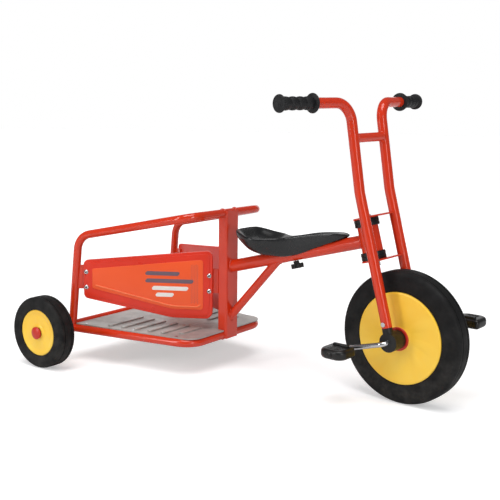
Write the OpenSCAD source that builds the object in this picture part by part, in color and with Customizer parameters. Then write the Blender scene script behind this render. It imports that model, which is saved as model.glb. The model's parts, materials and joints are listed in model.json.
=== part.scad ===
// Passenger tricycle for nursery children: a steel tube frame with a standing deck and
// two side panels behind the saddle, and a front wheel that is pedalled directly.
// Millimetres. +X is forwards, +Y is the rider's left, +Z is up. The origin is on the
// floor, under the middle of the length and the middle of the width.

/* [Wheels] */
// Distance between the front and the rear axle
wheelbase = 905; // [880:1:940]
// Diameter over the front tyre
front_d = 320; // [312:1:326]
// Width of the front tyre
front_w = 53; // [44:1:54]
// Diameter of the front disc, where the tyre grips it
front_disc_d = 222; // [200:1:230]
// Diameter over a rear tyre
rear_d = 192; // [180:1:206]
// Width of a rear tyre
rear_w = 52; // [44:1:56]
// Diameter of a rear disc, where the tyre grips it
rear_disc_d = 124; // [100:1:130]
// Distance between the middles of the two rear tyres
track = 628; // [600:1:660]

/* [Tubes] */
// Diameter of the handlebar and fork tubes
fork_tube_d = 25; // [24:0.5:26]
// Diameter of the tubes of the rear frame
frame_tube_d = 22; // [20:0.5:24]
// Diameter of the main tube under the saddle
main_tube_d = 33; // [30:0.5:35]
// Diameter of the head tube
head_tube_d = 51; // [48:0.5:54]
// Wall thickness of every tube
wall = 2; // [1.5:0.1:2.5]

/* [Steering] */
// Lean of the steering axis away from upright, in degrees
head_tilt = 15.2; // [14:0.1:16]
// How far the steering axis is behind the front axle, at the height of the axle
head_setback = 40; // [38:1:44]
// How far the front wheel is turned to the right as the tricycle stands, in degrees
rest_turn = 6.6; // [0:0.1:10]
// Half of the distance between the two fork legs
leg_y = 63.4; // [62:0.1:67]
// Height of the kink where the fork legs become the handlebar
kink_z = 501; // [480:1:530]
// Lean of the handlebar above the kink, in degrees
bar_tilt = 8.7; // [2:0.1:10]
// Height of the straight ends of the handlebar
bar_z = 707; // [690:0.5:740]
// Radius of the handlebar bends, to the middle of the tube
bar_bend = 45; // [40:1:50]
// Backward sweep of the straight ends, in degrees
bar_sweep = 8.4; // [4:0.1:12]
// Distance from the middle of the tricycle to the end of a grip
bar_half = 282; // [270:1:300]
// Length of a grip
grip_len = 105; // [95:1:115]
// Height of the crossbar of the handlebar
crossbar_z = 626; // [600:1:650]

/* [Pedals] */
// Diameter of the one-piece front axle, cranks and pedal spindles
axle_d = 12; // [10:0.5:12]
// Crank length, between the middles of axle and spindle
crank_len = 105; // [95:1:110]
// How far the right crank points below the horizontal, in degrees
crank_rest = 15.5; // [0:0.5:90]
// Distance from the middle of the tricycle to a crank
crank_y = 88; // [88:0.5:92]
// Length of a pedal along its spindle
pedal_len = 60; // [50:1:70]
// Width of a pedal, front to back
pedal_w = 70; // [60:1:76]
// Thickness of a pedal
pedal_t = 24; // [20:1:28]

/* [Rear frame] */
// Half width of the deck ring at its front, to the middle of the tube
ring_y = 156; // [150:0.5:166]
// Half width of the deck ring at the rear axle
ring_rear_y = 210; // [200:0.5:216]
// Distance from the front axle back to the front tube of the ring
ring_back = 524; // [510:1:535]
// Height of the deck ring
ring_z = 87; // [84:0.5:92]
// Bend radius of the ring and of the rail, to the middle of the tube
corner_r = 50; // [40:1:62]
// Height of the rail at its front
rail_z = 418; // [400:1:440]
// Slope of the rail, in degrees
rail_slope = 11.6; // [8:0.1:16]
// Forward lean of the rear posts, in degrees
post_lean = 5.8; // [4:0.1:12]
// Bend radius between post and rail
post_bend = 50; // [40:1:60]
// Size of the column, front to back
column_x = 30; // [28:0.5:34]
// Width of the column
column_y = 53; // [46:0.5:60]
// Thickness of the deck plate
deck_t = 3; // [2:0.5:4]
// Number of anti-slip ribs in each bank on the deck
rib_count = 6; // [3:1:7]

/* [Side panels] */
// Height of a panel at the front
panel_h = 189; // [170:1:200]
// Height of a panel at the back
panel_rear_h = 104; // [90:1:120]
// Thickness of a panel
panel_t = 14; // [10:1:16]

/* [Saddle] */
// Length of the saddle
seat_len = 308; // [290:1:312]
// Width of the saddle
seat_w = 150; // [140:1:170]
// Free travel of the saddle along the main tube
seat_travel = 50; // [20:5:50]
// Diameter of the clamping knob
knob_d = 34; // [28:1:40]

/* [Hidden] */
$fn = 64;
gap = 0.1;                 // air between pieces that lie on each other
run_fit = 0.05;            // radial clearance of a turning shaft
front_x = (wheelbase + rear_d / 2 - front_d / 2) / 2;
rear_x = front_x - wheelbase;
ring_x = front_x - ring_back;
front_z = front_d / 2;
rear_z = rear_d / 2;
leg_r = fork_tube_d / 2;
tube_r = frame_tube_d / 2;

red = [0.80, 0.20, 0.13];
yellow = [0.99, 0.80, 0.28];
black = [0.12, 0.12, 0.13];
grey = [0.55, 0.53, 0.52];
steel = [0.78, 0.79, 0.80];

// ---- helpers ----------------------------------------------------------------

function unit(v) = v / norm(v);

// The angle of the corner b of a run, and the length of each arm that its bend takes up.
function bend_angle(a, b, c) = acos(unit(b - a) * unit(c - b));
function bend_reach(a, b, c, r) = r * tan(bend_angle(a, b, c) / 2);

// Puts children that stand on +Z on the line from a to b.
module along(a, b)
{
    v = b - a;
    translate(a)
        rotate([0, acos(v.z / norm(v)), atan2(v.y, v.x)])
            children();
}

// A straight tube from a to b; with inner = 0 it is a rod.
module straight(a, b, d, inner)
{
    along(a, b)
        difference() {
            cylinder(h = norm(b - a), d = d);
            if (inner > 0)
                translate([0, 0, -1]) cylinder(h = norm(b - a) + 2, d = inner);
        }
}

// The bend at b between the arms a-b and b-c. Its ends are a trace thinner than the
// straight tubes and reach a little way into their walls.
elbow_lap = 1;
elbow_inset = 0.05;

module elbow(a, b, c, r, d, inner)
{
    u = unit(b - a);
    v = unit(c - b);
    n = unit(v - (u * v) * u);
    centre = b - bend_reach(a, b, c, r) * u + r * n;
    w = cross(-n, u);
    lap = elbow_lap / r * 180 / PI;
    multmatrix([[-n.x, u.x, w.x, centre.x],
                [-n.y, u.y, w.y, centre.y],
                [-n.z, u.z, w.z, centre.z],
                [0, 0, 0, 1]])
        rotate([0, 0, -lap])
            rotate_extrude(angle = bend_angle(a, b, c) + 2 * lap)
                translate([r, 0])
                    difference() {
                        circle(d = d - 2 * elbow_inset);
                        circle(d = inner + 2 * elbow_inset);
                    }
}

// A bent tube through the points, with the radius bends[i] at its inner corner i.
module tube_run(points, bends, d, inner)
{
    last = len(points) - 1;
    for (i = [0 : last - 1]) {
        u = unit(points[i + 1] - points[i]);
        cut_a = i == 0 ? 0 :
            bend_reach(points[i - 1], points[i], points[i + 1], bends[i - 1]);
        cut_b = i == last - 1 ? 0 :
            bend_reach(points[i], points[i + 1], points[i + 2], bends[i]);
        straight(points[i] + cut_a * u, points[i + 1] - cut_b * u, d, inner);
        if (i < last - 1)
            elbow(points[i], points[i + 1], points[i + 2], bends[i], d, inner);
    }
}

// Leaves children where they are for 1 and mirrors them to the other side for -1.
module mirrored(side)
{
    if (side < 0)
        mirror([0, 1, 0]) children();
    else
        children();
}

// ---- steering: everything below the head turns about a leaning axis -----------

// The front group is drawn with its wheel straight ahead and then turned to rest.
module steered()
{
    translate([front_x - head_setback, 0, front_z])
        rotate([0, -head_tilt, 0])
            rotate([0, 0, -rest_turn])
                rotate([0, head_tilt, 0])
                    translate([head_setback, 0, 0])
                        children();
}

// Puts children on the steering axis, +Z up along it, for pieces of the frame.
module on_head_axis()
{
    translate([front_x - head_setback, 0, front_z])
        rotate([0, -head_tilt, 0])
            children();
}

// The same for pieces of the front group, drawn about the front axle.
module on_fork_axis()
{
    translate([-head_setback, 0, 0])
        rotate([0, -head_tilt, 0])
            children();
}

// Stack along the steering axis, measured from the height of the axle.
plate_t = 4;
bush_h = 19;
head_low = 178;                                // underside of the lower plate
head_len = 62;
bush_low_s = head_low + plate_t + gap;
head_s = bush_low_s + bush_h;
bush_top_s = head_s + head_len;
plate_top_s = bush_top_s + bush_h + gap;
bush_d = 60;
king_d = 16;

// ---- rear frame ----------------------------------------------------------------

// Half width of ring and rail over any x: both grow wider towards the back.
function plan_y(x) = ring_y + (ring_x - x) / (ring_x - rear_x) * (ring_rear_y - ring_y);

ring_points = [[rear_x, -ring_rear_y, ring_z], [ring_x, -ring_y, ring_z],
    [ring_x, ring_y, ring_z], [rear_x, ring_rear_y, ring_z]];

axle_tube_half = track / 2 - rear_w / 2 - 5;

module axle_tube_solid(d, extra = 0)
{
    translate([rear_x, 0, rear_z])
        rotate([90, 0, 0])
            cylinder(h = 2 * (axle_tube_half + extra), d = d, center = true);
}

module deck_ring()
{
    color(red)
        difference() {
            tube_run(ring_points, [corner_r, corner_r], frame_tube_d,
                frame_tube_d - 2 * wall);
            axle_tube_solid(frame_tube_d);
            for (side = [-1, 1])
                mirrored(side)
                    straight(rail_points[5], rail_points[4], frame_tube_d, 0);
            for (x = rivet_x, side = [-1, 1])
                translate([x, side * rivet_y(x), ring_z])
                    cylinder(h = tube_r + 1, d = rivet_d);
        }
}

module rear_axle_tube()
{
    color(red)
        difference() {
            axle_tube_solid(frame_tube_d);
            axle_tube_solid(frame_tube_d - 2 * wall, 1);
        }
}

plug_len = 20;

module rear_axle_plugs()
{
    color(black)
        for (side = [-1, 1])
            translate([rear_x, side * (axle_tube_half - plug_len / 2), rear_z])
                rotate([90, 0, 0])
                    difference() {
                        cylinder(h = plug_len, d = frame_tube_d - 2 * wall, center = true);
                        cylinder(h = plug_len + 2, d = axle_d, center = true);
                    }
}

rear_axle_half = track / 2 + rear_w / 2 + 1;
module rear_axle()
{
    color(steel)
        translate([rear_x, 0, rear_z])
            rotate([90, 0, 0])
                cylinder(h = 2 * rear_axle_half, d = axle_d, center = true);
}

// Deck plate: pressed sheet that lies on the ring, with raised ribs across it.
deck_z = ring_z + tube_r + gap;
deck_over = 3;             // the plate reaches this far past the middle of the ring
deck_front = ring_x + 8;
deck_back = rear_x + tube_r + 3;
deck_corner = corner_r - 8;
rib_pitch = 42;
rib_w = 12;
rib_h = 1.5;
rib_in = 50;               // the ribs leave a plain strip down the middle
rib_start = ring_x - 60;
column_clear = 1;

deck_corners = [[deck_back, -plan_y(deck_back) - deck_over],
    [deck_front, -plan_y(deck_front) - deck_over],
    [deck_front, plan_y(deck_front) + deck_over],
    [deck_back, plan_y(deck_back) + deck_over]];

module deck_outline()
{
    difference() {
        polygon(rounded(deck_corners, [3, deck_corner, deck_corner, 3], 16));
        translate([ring_x - column_x / 2 - column_clear, -column_y / 2 - column_clear])
            square([column_x + 20, column_y + 2 * column_clear]);
    }
}

// The front rib is shorter, because of the corner of the deck.
function rib_end(i) = plan_y(rib_start - i * rib_pitch) - (i == 0 ? 42 : 22);

module rib(x, from, to)
{
    translate([x - rib_w / 2, from, deck_z + deck_t])
        cube([rib_w, to - from, rib_h]);
    for (y = [from, to])
        translate([x, y, deck_z + deck_t])
            cylinder(h = rib_h, d = rib_w);
}

rivet_d = 5;
function rivet_y(x) = plan_y(x) - 5;
rivet_x = [deck_back + 30, (deck_back + ring_x) / 2, ring_x - corner_r];

module deck_plate()
{
    color(grey)
        difference() {
            union() {
                translate([0, 0, deck_z])
                    linear_extrude(height = deck_t) deck_outline();
                for (i = [0 : rib_count - 1], side = [-1, 1])
                    mirrored(side)
                        rib(rib_start - i * rib_pitch, rib_in, rib_end(i));
            }
            for (x = rivet_x, side = [-1, 1])
                translate([x, side * rivet_y(x), deck_z - 1])
                    cylinder(h = deck_t + 2, d = rivet_d);
        }
}

module deck_rivets()
{
    color(steel)
        for (x = rivet_x, side = [-1, 1])
            translate([x, side * rivet_y(x), 0]) {
                translate([0, 0, ring_z + tube_r - wall - 2])
                    cylinder(h = wall + 2 + gap + deck_t, d = rivet_d);
                translate([0, 0, deck_z + deck_t])
                    cylinder(h = 1.2, d = 9);
            }
}

// Rail and rear posts: one bent tube on each side, joined across the front.
rail_drop = tan(rail_slope);
post_fall = tan(post_lean);
post_foot = rear_x + tube_r * post_fall;
// Where the line of the post meets the line of the rail.
rail_run = (ring_x - post_foot - post_fall * (rail_z - rear_z)) / (1 - post_fall * rail_drop);
post_top = [ring_x - rail_run, rail_z - rail_run * rail_drop];

rail_points = [[post_foot, -plan_y(post_foot), rear_z],
    [post_top.x, -plan_y(post_top.x), post_top.y],
    [ring_x, -ring_y, rail_z],
    [ring_x, ring_y, rail_z],
    [post_top.x, plan_y(post_top.x), post_top.y],
    [post_foot, plan_y(post_foot), rear_z]];

module top_rail()
{
    color(red)
        difference() {
            tube_run(rail_points, [post_bend, corner_r, corner_r, post_bend],
                frame_tube_d, frame_tube_d - 2 * wall);
            axle_tube_solid(frame_tube_d);
        }
}

// Column: a box section tube that stands on the front of the ring and carries the rail.
column_foot = ring_z - 9;
column_head = rail_z + 7;
column_r = 5;

module rounded_box_section(x, y, r)
{
    square([x - 2 * r, y], center = true);
    square([x, y - 2 * r], center = true);
    for (i = [-1, 1], j = [-1, 1])
        translate([i * (x / 2 - r), j * (y / 2 - r)])
            circle(r = r);
}

module cross_tube(z)
{
    translate([ring_x, 0, z])
        rotate([90, 0, 0])
            cylinder(h = column_y + 2, d = frame_tube_d, center = true);
}

module column()
{
    color(red)
        difference() {
            translate([ring_x, 0, column_foot])
                linear_extrude(height = column_head - column_foot)
                    difference() {
                        rounded_box_section(column_x, column_y, column_r);
                        rounded_box_section(column_x - 2 * wall, column_y - 2 * wall,
                            column_r - wall);
                    }
            cross_tube(ring_z);
            cross_tube(rail_z);
        }
}

// Main tube: from the front face of the column up to the middle of the head tube.
column_face = ring_x + column_x / 2;
main_slope = 14.6;
head_mid_s = head_s + head_len / 2 - 3;   // the main tube joins just below the middle
head_mid = [front_x - head_setback - head_mid_s * sin(head_tilt), 0,
    front_z + head_mid_s * cos(head_tilt)];

function main_at(x) = [x, 0, head_mid.z - (head_mid.x - x) * tan(main_slope)];

// The saddle is clamped over this point of the main tube.
seat_x = front_x - 313;
slot_w = 9;

module on_main_tube()
{
    translate(main_at(seat_x))
        rotate([0, -main_slope, 0])
            children();
}

module main_tube()
{
    color(red)
        difference() {
            straight(main_at(column_face - 5), head_mid, main_tube_d,
                main_tube_d - 2 * wall);
            translate([ring_x - column_x / 2, -column_y, 0])
                cube([column_x, 2 * column_y, rail_z]);
            on_head_axis()
                translate([0, 0, head_s])
                    cylinder(h = head_len, d = head_tube_d);
            on_main_tube()
                for (end = [-1, 1])
                    translate([end * seat_travel / 2, 0, -main_tube_d])
                        cylinder(h = 2 * main_tube_d, d = slot_w);
            on_main_tube()
                translate([-seat_travel / 2, -slot_w / 2, -main_tube_d])
                    cube([seat_travel, slot_w, 2 * main_tube_d]);
        }
}

// Brace: a straight tube from the foot of the column to the underside of the main tube.
brace_foot = [column_face - 8, 0, 133];
brace_head = main_at(front_x - 355);

module brace()
{
    color(red)
        difference() {
            straight(brace_foot, brace_head, frame_tube_d, frame_tube_d - 2 * wall);
            translate([ring_x - column_x / 2, -column_y, 0])
                cube([column_x, 2 * column_y, rail_z]);
            straight(main_at(ring_x), head_mid, main_tube_d, 0);
        }
}

module head_tube()
{
    color(red)
        on_head_axis()
            translate([0, 0, head_s])
                difference() {
                    cylinder(h = head_len, d = head_tube_d);
                    translate([0, 0, -1])
                        cylinder(h = head_len + 2, d = head_tube_d - 2 * wall - 2);
                }
}

// A bearing bush: a thick cap outside the head tube and a spigot inside it.
bush_spigot = 22;

module head_bush()
{
    difference() {
        union() {
            cylinder(h = bush_h, d = bush_d);
            translate([0, 0, bush_h])
                cylinder(h = bush_spigot, d = head_tube_d - 2 * wall - 2);
        }
        translate([0, 0, -1])
            cylinder(h = bush_h + bush_spigot + 2, r = king_d / 2 + run_fit);
    }
}

module head_bush_lower()
{
    color(black)
        on_head_axis()
            translate([0, 0, bush_low_s])
                head_bush();
}

module head_bush_upper()
{
    color(black)
        on_head_axis()
            translate([0, 0, bush_top_s + bush_h])
                mirror([0, 0, 1])
                    head_bush();
}

// ---- side panels ------------------------------------------------------------------

// The panels stand in a V, from the rear posts in to the column. Each is drawn for the
// right side: u runs along it from the post to the column, and v is up.
panel_back = [rear_x + 44, -206];
panel_front = [ring_x - 24, -37];
panel_turn = atan2(panel_front.y - panel_back.y, panel_front.x - panel_back.x);
panel_len = norm(panel_front - panel_back);
panel_foot = 130;
panel_r = 14;
panel_rear_z = 177;
panel_flat = 110;      // length of the level part of the lower edge

module on_panel()
{
    translate([panel_back.x, panel_back.y, 0])
        rotate([0, 0, panel_turn])
            rotate([90, 0, 0])
                children();
}

// Outline: five corners, each rounded by an arc.
panel_corners = [[0, panel_rear_z], [panel_len - panel_flat, panel_foot],
    [panel_len, panel_foot], [panel_len, panel_foot + panel_h],
    [0, panel_rear_z + panel_rear_h]];
panel_radii = [panel_r, 150, 20, 16, panel_r];

function arc_points(a, b, c, r, steps) =
    let (u = unit(b - a), v = unit(c - b), turn = acos(u * v),
        n = unit(v - (u * v) * u), start = b - r * tan(turn / 2) * u,
        centre = start + r * n)
    [for (i = [0 : steps]) centre - r * cos(turn * i / steps) * n
        + r * sin(turn * i / steps) * u];

function rounded(points, radii, steps) =
    let (n = len(points))
    [for (i = [0 : n - 1])
        each arc_points(points[(i + n - 1) % n], points[i], points[(i + 1) % n],
            radii[i], steps)];

function inset_corners(d) = [[d, panel_rear_z + d * 1.1],
    [panel_len - panel_flat, panel_foot + d], [panel_len - d, panel_foot + d],
    [panel_len - d, panel_foot + panel_h - d], [d, panel_rear_z + panel_rear_h - d * 0.9]];

screw_d = 6;
screw_pitch = 42;
screw_z = [206.5, 206.5 + screw_pitch];
screw_u = [8, panel_len - 9];
panel_rim = 25;
rim_step = 3;

module panel_solid()
{
    difference() {
        union() {
            translate([0, 0, -panel_t / 2])
                linear_extrude(height = panel_t - rim_step)
                    polygon(rounded(panel_corners, panel_radii, 8));
            translate([0, 0, -panel_t / 2])
                linear_extrude(height = panel_t)
                    polygon(rounded(inset_corners(panel_rim), [6, 150, 8, 8, 6], 6));
        }
        for (u = screw_u, z = screw_z)
            translate([u, z, -panel_t])
                cylinder(h = 2 * panel_t, d = screw_d);
    }
}

module panel_right() { color(red) on_panel() panel_solid(); }
module panel_left() { color(red) mirrored(-1) on_panel() panel_solid(); }

// Brackets: flat steel welded to post and column, behind the ends of the panels.
bracket_t = 4;
bracket_h = 66;
bracket_low = 200;
bracket_face = -panel_t / 2 - gap;

module bracket_plate(from, to)
{
    difference() {
        translate([from, bracket_low, bracket_face - bracket_t])
            cube([to - from, bracket_h, bracket_t]);
        for (u = screw_u, z = screw_z)
            translate([u, z, bracket_face - bracket_t - 1])
                cylinder(h = bracket_t + 2, d = screw_d);
    }
}

module post_bracket()
{
    difference() {
        on_panel() bracket_plate(-20, 24);
        along(rail_points[0], rail_points[1])
            rotate([0, 0, 90])
                cylinder(h = rail_z, d = frame_tube_d);
    }
}

module column_bracket()
{
    difference() {
        on_panel() bracket_plate(panel_len - 24, panel_len + 30);
        translate([ring_x - column_x / 2, -column_y / 2, 0])
            cube([2 * column_x, column_y, rail_z]);
    }
}

module post_bracket_right() { color(red) post_bracket(); }
module post_bracket_left() { color(red) mirrored(-1) post_bracket(); }
module column_bracket_right() { color(red) column_bracket(); }
module column_bracket_left() { color(red) mirrored(-1) column_bracket(); }

screw_head_d = 12;
screw_head_h = 4;
nut_h = 5;
nut_w = 10;

module panel_screw()
{
    face = panel_t / 2 - rim_step;
    translate([0, 0, face])
        cylinder(h = screw_head_h, d = screw_head_d);
    translate([0, 0, bracket_face - bracket_t - nut_h - 2])
        cylinder(h = face - bracket_face + bracket_t + nut_h + 2, d = screw_d);
}

module panel_nut()
{
    translate([0, 0, bracket_face - bracket_t - nut_h])
        difference() {
            cylinder(h = nut_h, d = nut_w / cos(30), $fn = 6);
            translate([0, 0, -1]) cylinder(h = nut_h + 2, d = screw_d);
        }
}

module at_panel_screws()
{
    for (side = [-1, 1], u = screw_u, z = screw_z)
        mirrored(-side)
            on_panel()
                translate([u, z, 0])
                    children();
}

module panel_screws() { color(steel) at_panel_screws() panel_screw(); }
module panel_nuts() { color(steel) at_panel_screws() panel_nut(); }

// ---- rear wheels ---------------------------------------------------------------------

// Puts children on a rear axle end: +Z points outwards, 0 is the middle of the tyre.
module rear_wheel(side)
{
    mirrored(-side)
        translate([rear_x, -track / 2, rear_z])
            rotate([90, 0, 0])
                children();
}

// A tyre with rounded shoulders, turned about Z.
module tyre(d, w, inner_d, shoulder)
{
    rotate_extrude()
        difference() {
            union() {
                translate([inner_d / 2, -w / 2])
                    square([d / 2 - inner_d / 2 - shoulder, w]);
                translate([inner_d / 2, -w / 2 + shoulder])
                    square([d / 2 - inner_d / 2, w - 2 * shoulder]);
                for (side = [-1, 1])
                    translate([d / 2 - shoulder, side * (w / 2 - shoulder)])
                        circle(r = shoulder);
            }
        }
}

rear_bush_d = 30;
rear_bush_half = rear_w / 2 - 2;
rear_web = 5;
rear_rim_half = rear_w / 2 - 4;

module rear_disc()
{
    rotate_extrude()
        polygon([[rear_bush_d / 2, -rear_rim_half], [22, -rear_rim_half],
            [22, -rear_web], [rear_disc_d / 2 - 8, -rear_web],
            [rear_disc_d / 2 - 8, -rear_rim_half], [rear_disc_d / 2, -rear_rim_half],
            [rear_disc_d / 2, rear_rim_half], [rear_disc_d / 2 - 6, rear_rim_half],
            [rear_disc_d / 2 - 14, rear_rim_half - 3], [22, rear_rim_half - 3],
            [rear_bush_d / 2, rear_rim_half]]);
}

module rear_bush()
{
    rotate_extrude()
        translate([axle_d / 2 + run_fit, -rear_bush_half])
            square([rear_bush_d / 2 - axle_d / 2 - run_fit, 2 * rear_bush_half]);
}

module rear_tyre_right() { color(black) rear_wheel(-1) tyre(rear_d, rear_w, rear_disc_d, 11); }
module rear_tyre_left() { color(black) rear_wheel(1) tyre(rear_d, rear_w, rear_disc_d, 11); }
module rear_disc_right() { color(yellow) rear_wheel(-1) rear_disc(); }
module rear_disc_left() { color(yellow) rear_wheel(1) rear_disc(); }
module rear_bush_right() { color(black) rear_wheel(-1) rear_bush(); }
module rear_bush_left() { color(black) rear_wheel(1) rear_bush(); }

cap_d = 33;
cap_h = 8;

// Domed caps pressed on the ends of the rear axle.
module axle_caps()
{
    color(red)
        for (side = [-1, 1])
            rear_wheel(side)
                translate([0, 0, rear_bush_half + 1])
                    difference() {
                        rotate_extrude()
                            intersection() {
                                translate([0, cap_h - 33]) circle(r = 33);
                                square([cap_d / 2, cap_h]);
                            }
                        translate([0, 0, -1])
                            cylinder(h = rear_axle_half - track / 2 - rear_bush_half,
                                d = axle_d);
                    }
}

module axle_washers()
{
    color(steel)
        for (side = [-1, 1])
            rear_wheel(side)
                translate([0, 0, -rear_bush_half - 2.4])
                    difference() {
                        cylinder(h = 2, d = 26);
                        translate([0, 0, -1]) cylinder(h = 4, d = axle_d);
                    }
}

// ---- handlebar and fork -----------------------------------------------------------------

leg_lean = 14.8;
leg_foot_z = 33;          // the leg starts this far above the axle

function leg_at(side, z) = [-(z - front_z) * tan(leg_lean), side * leg_y, z - front_z];

kink = leg_at(1, kink_z);
bar_top_x = kink.x - (bar_z - kink_z) * tan(bar_tilt);
bar_start = [bar_top_x, leg_y, bar_z - front_z];
bar_end = [bar_top_x - (bar_half - leg_y) * tan(bar_sweep), bar_half, bar_z - front_z];
grip_end_t = 4;           // rubber over the end of the tube
bar_tip = bar_end - grip_end_t * unit(bar_end - bar_start);

kink_bend = 120;
fork_points = [leg_at(1, front_z + leg_foot_z), kink, bar_start, bar_tip];

foot_screw_z = front_z + leg_foot_z + 9;
foot_screw_d = 6;

// The fork tube of the left side: leg, upright and one half of the handlebar in one.
module fork_tube()
{
    difference() {
        tube_run(fork_points, [kink_bend, bar_bend], fork_tube_d, fork_tube_d - 2 * wall);
        translate(leg_at(1, foot_screw_z))
            rotate([90, 0, 0])
                cylinder(h = 3 * fork_tube_d, d = foot_screw_d, center = true);
    }
}

module fork_tube_right() { color(red) steered() mirrored(-1) fork_tube(); }
module fork_tube_left() { color(red) steered() fork_tube(); }

crossbar_x = kink.x - (crossbar_z - kink_z) * tan(bar_tilt);

module handlebar_crossbar()
{
    color(red)
        steered()
            difference() {
                straight([crossbar_x, -leg_y, crossbar_z - front_z],
                    [crossbar_x, leg_y, crossbar_z - front_z], frame_tube_d,
                    frame_tube_d - 2 * wall);
                for (side = [-1, 1])
                    mirrored(side) straight(kink, bar_start, fork_tube_d, 0);
            }
}

// Plates that join the legs to the king bolt.
plate_reach = head_setback * cos(head_tilt);
plate_nose_r = 31;

module fork_plate(s)
{
    difference() {
        on_fork_axis()
            translate([0, 0, s])
                linear_extrude(height = plate_t)
                    difference() {
                        union() {
                            circle(r = plate_nose_r);
                            polygon([[0, -plate_nose_r], [0, plate_nose_r],
                                [plate_reach - leg_r, leg_y], [plate_reach + 8, leg_y],
                                [plate_reach + 8, -leg_y], [plate_reach - leg_r, -leg_y]]);
                        }
                        circle(d = king_d);
                    }
        for (side = [-1, 1])
            straight(leg_at(side, front_z), leg_at(side, kink_z), fork_tube_d, 0);
    }
}

module fork_plate_lower() { color(red) steered() fork_plate(head_low); }
module fork_plate_upper() { color(red) steered() fork_plate(plate_top_s); }

king_head_d = 26;
king_head_h = 4;
king_nut_h = 12;
king_top = plate_top_s + plate_t + gap;

module king_bolt()
{
    color(steel)
        steered() on_fork_axis() {
            translate([0, 0, king_top])
                cylinder(h = king_head_h, d = king_head_d);
            translate([0, 0, head_low - gap - king_nut_h - 2])
                cylinder(h = king_top - head_low + gap + king_nut_h + 2, d = king_d);
        }
}

module king_nut()
{
    color(steel)
        steered() on_fork_axis()
            translate([0, 0, head_low - gap - king_nut_h])
                difference() {
                    cylinder(h = king_nut_h, d = 24 / cos(30), $fn = 6);
                    translate([0, 0, -1]) cylinder(h = king_nut_h + 2, d = king_d);
                }
}

// Grip: a flange at each end and four soft bulges between them.
grip_body_r = 15.5;
grip_bulge = 1.5;
grip_bulges = 4;
inner_flange_r = 22;
outer_flange_r = 20;
flange_t = 5;

grip_side = [for (i = [0 : 32])
    [grip_body_r + grip_bulge * abs(sin(180 * grip_bulges * i / 32)),
        -flange_t - (grip_len - 2 * flange_t) * i / 32]];

module grip()
{
    along(bar_start, bar_end)
        translate([0, 0, norm(bar_end - bar_start)])
            difference() {
                rotate_extrude()
                    polygon(concat([[0, 0], [outer_flange_r - 2, 0],
                        [outer_flange_r, -1.5], [outer_flange_r, -flange_t]],
                        grip_side,
                        [[inner_flange_r, -grip_len + flange_t],
                        [inner_flange_r, -grip_len], [0, -grip_len]]));
                translate([0, 0, -grip_len - 1])
                    cylinder(h = grip_len + 1 - grip_end_t, d = fork_tube_d);
            }
}

module grip_right() { color(black) steered() mirrored(-1) grip(); }
module grip_left() { color(black) steered() grip(); }

// Hub bearings: black housings under the legs that the axle turns in.
hub_d = 46;
hub_in = 31.6;
hub_out = crank_y - 15;
spigot_len = 40;

module hub_bearing(side)
{
    difference() {
        union() {
            translate([0, side * hub_in, 0])
                rotate([-side * 90, 0, 0])
                    cylinder(h = hub_out - hub_in, d = hub_d);
            straight(leg_at(side, front_z + 12), leg_at(side, front_z + leg_foot_z),
                fork_tube_d, 0);
            straight(leg_at(side, front_z + leg_foot_z - 1),
                leg_at(side, front_z + leg_foot_z + spigot_len),
                fork_tube_d - 2 * wall, 0);
        }
        rotate([90, 0, 0])
            cylinder(h = 3 * hub_out, r = axle_d / 2 + run_fit, center = true);
        translate(leg_at(side, foot_screw_z))
            rotate([90, 0, 0])
                cylinder(h = 2 * fork_tube_d, d = foot_screw_d, center = true);
        // the part of the neck that would stand past the end of the housing
        translate([-hub_d, side > 0 ? hub_out : -hub_out - hub_d, -hub_d])
            cube([2 * hub_d, hub_d, hub_d + hub_d / 2 - 4]);
    }
}

module hub_bearing_right() { color(black) steered() hub_bearing(-1); }
module hub_bearing_left() { color(black) steered() hub_bearing(1); }

module fork_screws()
{
    color(steel)
        steered()
            for (side = [-1, 1])
                translate(leg_at(side, foot_screw_z))
                    rotate([-side * 90, 0, 0]) {
                        translate([0, 0, -leg_r - 1])
                            cylinder(h = fork_tube_d + 2, d = foot_screw_d);
                        translate([0, 0, leg_r])
                            cylinder(h = 2.5, d = 11);
                    }
}

// ---- front wheel ----------------------------------------------------------------------------

// Children are drawn outwards from the middle of the wheel along +Z.
module front_side(side)
{
    steered()
        rotate([-side * 90, 0, 0])
            children();
}

flange_d = 57;
flange_face = 31;
sleeve_d = 30;
disc_face = 28;
disc_rim_face = 28.6;

module front_tyre()
{
    color(black)
        front_side(1) tyre(front_d, front_w, front_disc_d, 12);
}

module front_disc()
{
    rotate_extrude()
        polygon([[sleeve_d / 2, gap / 2], [sleeve_d / 2, disc_face - gap],
            [flange_d / 2, disc_face - gap], [36, disc_face - 3], [94, disc_face - 3],
            [100, disc_rim_face], [front_disc_d / 2 - 4, disc_rim_face],
            [front_disc_d / 2, disc_rim_face - 3], [front_disc_d / 2, gap / 2],
            [front_disc_d / 2 - 6, gap / 2], [front_disc_d / 2 - 6, disc_face - 8],
            [sleeve_d / 2 + 12, disc_face - 8], [sleeve_d / 2 + 6, gap / 2]]);
}

module front_disc_right() { color(yellow) front_side(-1) front_disc(); }
module front_disc_left() { color(yellow) front_side(1) front_disc(); }

module hub_flange()
{
    rotate_extrude()
        polygon([[axle_d / 2, gap / 2], [sleeve_d / 2, gap / 2],
            [sleeve_d / 2, disc_face], [flange_d / 2, disc_face],
            [flange_d / 2, flange_face - 1], [flange_d / 2 - 1, flange_face],
            [axle_d / 2, flange_face]]);
}

module hub_flange_right() { color(red) front_side(-1) hub_flange(); }
module hub_flange_left() { color(red) front_side(1) hub_flange(); }

// The front axle, both cranks and both pedal spindles are one bent rod.
crank_bend = 14;
spindle_end = crank_y + crank_bend + 1 + pedal_len + 1;

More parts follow.
